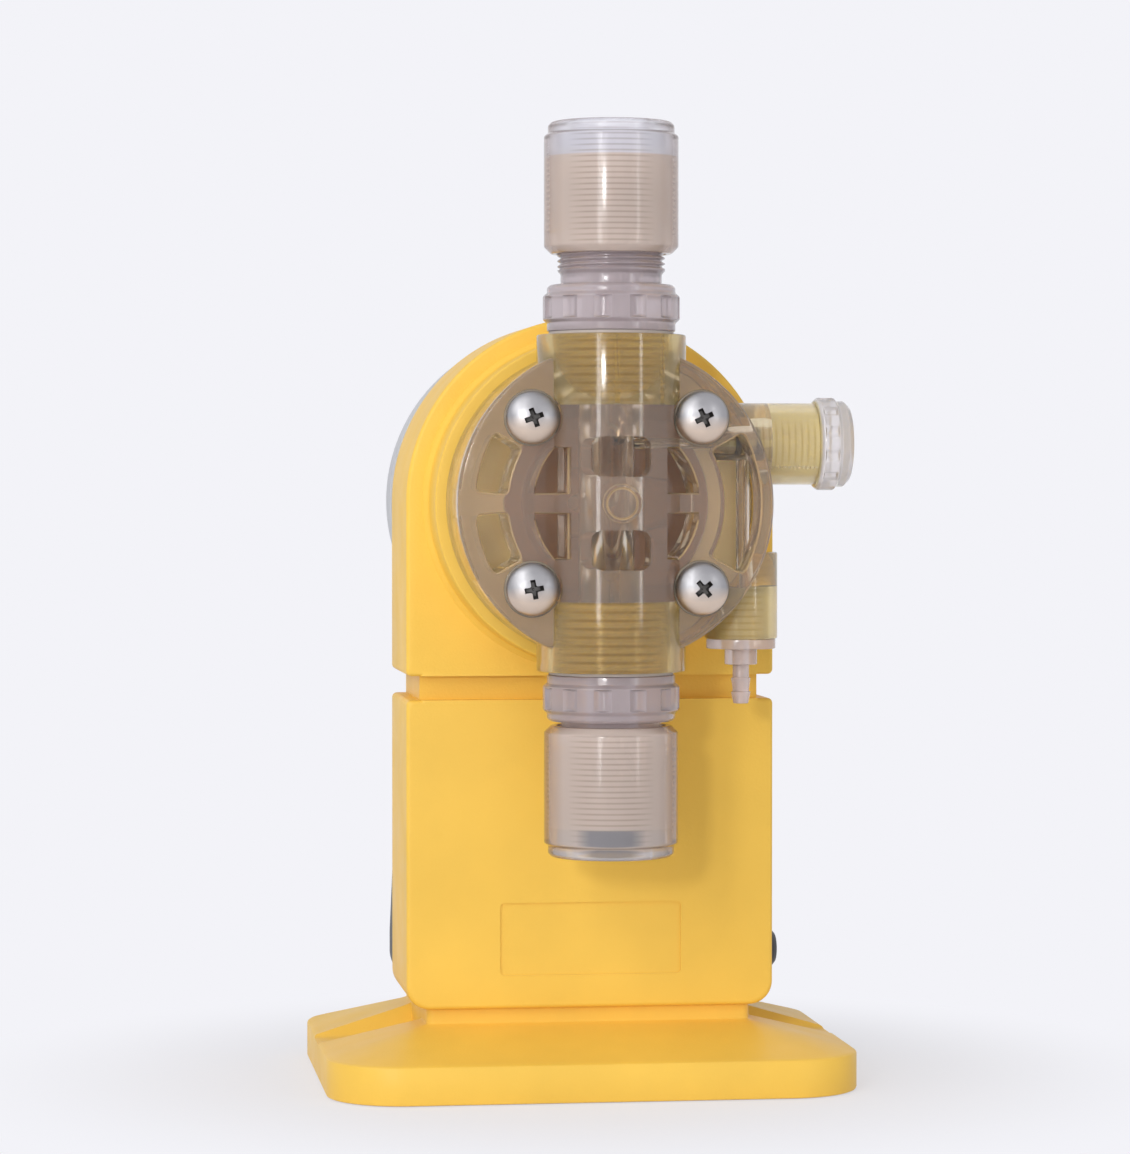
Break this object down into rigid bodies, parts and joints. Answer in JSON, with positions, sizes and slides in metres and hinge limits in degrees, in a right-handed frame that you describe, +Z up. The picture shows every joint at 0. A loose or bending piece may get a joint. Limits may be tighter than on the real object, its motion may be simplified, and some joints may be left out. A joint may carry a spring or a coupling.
{
  "type": "diaphragm metering pump",
  "caption": "Solenoid-driven diaphragm metering pump: arched housing on a broad foot, clear pump head with vertical valve tube, bleed valve, barbed return and long coupling nuts",
  "frame": {"origin": "on the underside of the foot, midway between the two mounting slots", "axes": "+Z up, the liquid end and head screws face -Y, the stroke dial faces +Y, the bleed valve points to +X"},
  "size_m": [0.126, 0.1322, 0.2252],
  "materials": {
    "yellow_housing": "glass-filled moulded plastic, fine grain",
    "charcoal_cover": "moulded plastic, fine grain",
    "charcoal_knob": "moulded plastic, satin",
    "light_grey_plastic": "moulded plastic, satin",
    "component_black": "moulded component case",
    "board_green": "solder-masked board",
    "clear_head": "clear machined and moulded plastic, slightly brown",
    "clear_body": "clear moulded plastic, slightly lilac",
    "clear_nut": "clear moulded plastic",
    "blue_grey_ring": "moulded clamp ring",
    "white_ptfe": "PTFE",
    "ceramic_ball": "ground ceramic",
    "black_rubber": "moulded rubber",
    "polished_steel": "polished stainless steel",
    "zinc_steel": "zinc plated",
    "soft_iron": "turned soft iron",
    "brass_turned": "turned",
    "copper_wire": "enamelled copper wire"
  },
  "bodies": {
    "pump": {"base_plate": "yellow_housing", "drive_housing": "yellow_housing", "rear_cover": "charcoal_cover", "housing_gasket": "black_rubber", "dial_bezel": "light_grey_plastic", "speed_pot": "component_black", "circuit_board": "board_green", "cable_gland": "charcoal_knob", "base_screws": "zinc_steel", "cover_screws": "zinc_steel", "head_screws": "polished_steel", "head_washers": "polished_steel", "solenoid_yoke": "soft_iron", "yoke_plate": "soft_iron", "pole_piece": "soft_iron", "return_spring": "polished_steel", "shaft_bush": "brass_turned", "coil_bobbin": "component_black", "coil_winding": "copper_wire", "backing_plate": "light_grey_plastic", "diaphragm": "white_ptfe", "pump_head": "clear_head", "discharge_valve_body": "clear_body", "suction_valve_body": "clear_body", "discharge_seat": "white_ptfe", "suction_seat": "white_ptfe", "discharge_seal": "black_rubber", "suction_seal": "black_rubber", "return_nozzle": "clear_nut", "return_seal": "black_rubber"},
    "stroke_knob": {"stroke_knob": "charcoal_knob", "stroke_sleeve": "brass_turned"},
    "stroke_stop": {"stroke_stop": "zinc_steel"},
    "armature": {"plunger": "soft_iron", "drive_shaft": "polished_steel"},
    "speed_knob": {"speed_knob": "charcoal_knob", "speed_shaft": "brass_turned"},
    "discharge_ball": {"discharge_ball": "ceramic_ball"},
    "suction_ball": {"suction_ball": "ceramic_ball"},
    "discharge_carrier": {"discharge_ferrule": "clear_body"},
    "discharge_nut": {"discharge_nut": "clear_nut"},
    "suction_carrier": {"suction_ferrule": "blue_grey_ring"},
    "suction_nut": {"suction_nut": "clear_nut"},
    "bleed_carrier": {"bleed_o_rings": "black_rubber"},
    "bleed_screw": {"bleed_screw": "clear_nut"}
  },
  "joints": [
    {"name": "stroke_turn", "type": "hinge", "parent": "pump", "child": "stroke_knob", "pos_m": [0, 0.0412, 0.1388], "axis": [0, 1, 0], "range_deg": [0, 270]},
    {"name": "stop_advance", "type": "slide", "parent": "pump", "child": "stroke_stop", "axis": [0, -1, 0], "range_m": [0, 0.00125]},
    {"name": "pump_stroke", "type": "slide", "parent": "stroke_stop", "child": "armature", "axis": [0, -1, 0], "range_m": [0, 0.00125], "stiffness_N_per_m": 4000, "springref_m": -0.003, "deforming": ["return_spring", "diaphragm"]},
    {"name": "speed_turn", "type": "hinge", "parent": "pump", "child": "speed_knob", "pos_m": [0, 0.0332, 0.066], "axis": [0, 1, 0], "range_deg": [-280, 0]},
    {"name": "discharge_ball_lift", "type": "slide", "parent": "pump", "child": "discharge_ball", "axis": [0, 0, 1], "range_m": [0, 0.0015]},
    {"name": "suction_ball_lift", "type": "slide", "parent": "pump", "child": "suction_ball", "axis": [0, 0, 1], "range_m": [0, 0.0015]},
    {"name": "discharge_nut_travel", "type": "slide", "parent": "pump", "child": "discharge_carrier", "axis": [0, 0, 1], "range_m": [-0.006, 0.018]},
    {"name": "discharge_nut_turn", "type": "hinge", "parent": "discharge_carrier", "child": "discharge_nut", "pos_m": [0, -0.0621, 0.21], "axis": [0, 0, 1], "range_deg": [-1728, 5184]},
    {"name": "suction_nut_travel", "type": "slide", "parent": "pump", "child": "suction_carrier", "axis": [0, 0, -1], "range_m": [0, 0.018]},
    {"name": "suction_nut_turn", "type": "hinge", "parent": "suction_carrier", "child": "suction_nut", "pos_m": [0, -0.0621, 0.074], "axis": [0, 0, -1], "range_deg": [0, 5184]},
    {"name": "bleed_travel", "type": "slide", "parent": "pump", "child": "bleed_carrier", "axis": [1, 0, 0], "range_m": [0, 0.002]},
    {"name": "bleed_turn", "type": "hinge", "parent": "bleed_carrier", "child": "bleed_screw", "pos_m": [0.052, -0.0546, 0.1524], "axis": [1, 0, 0], "range_deg": [0, 720]}
  ],
  "couplings": [
    {"joint": "stroke_turn", "follows": "stop_advance", "rad_per_m": 3769.9},
    {"joint": "discharge_nut_turn", "follows": "discharge_nut_travel", "rad_per_m": 5026.5},
    {"joint": "suction_nut_turn", "follows": "suction_nut_travel", "rad_per_m": 5026.5},
    {"joint": "bleed_turn", "follows": "bleed_travel", "rad_per_m": 6283.2}
  ]
}
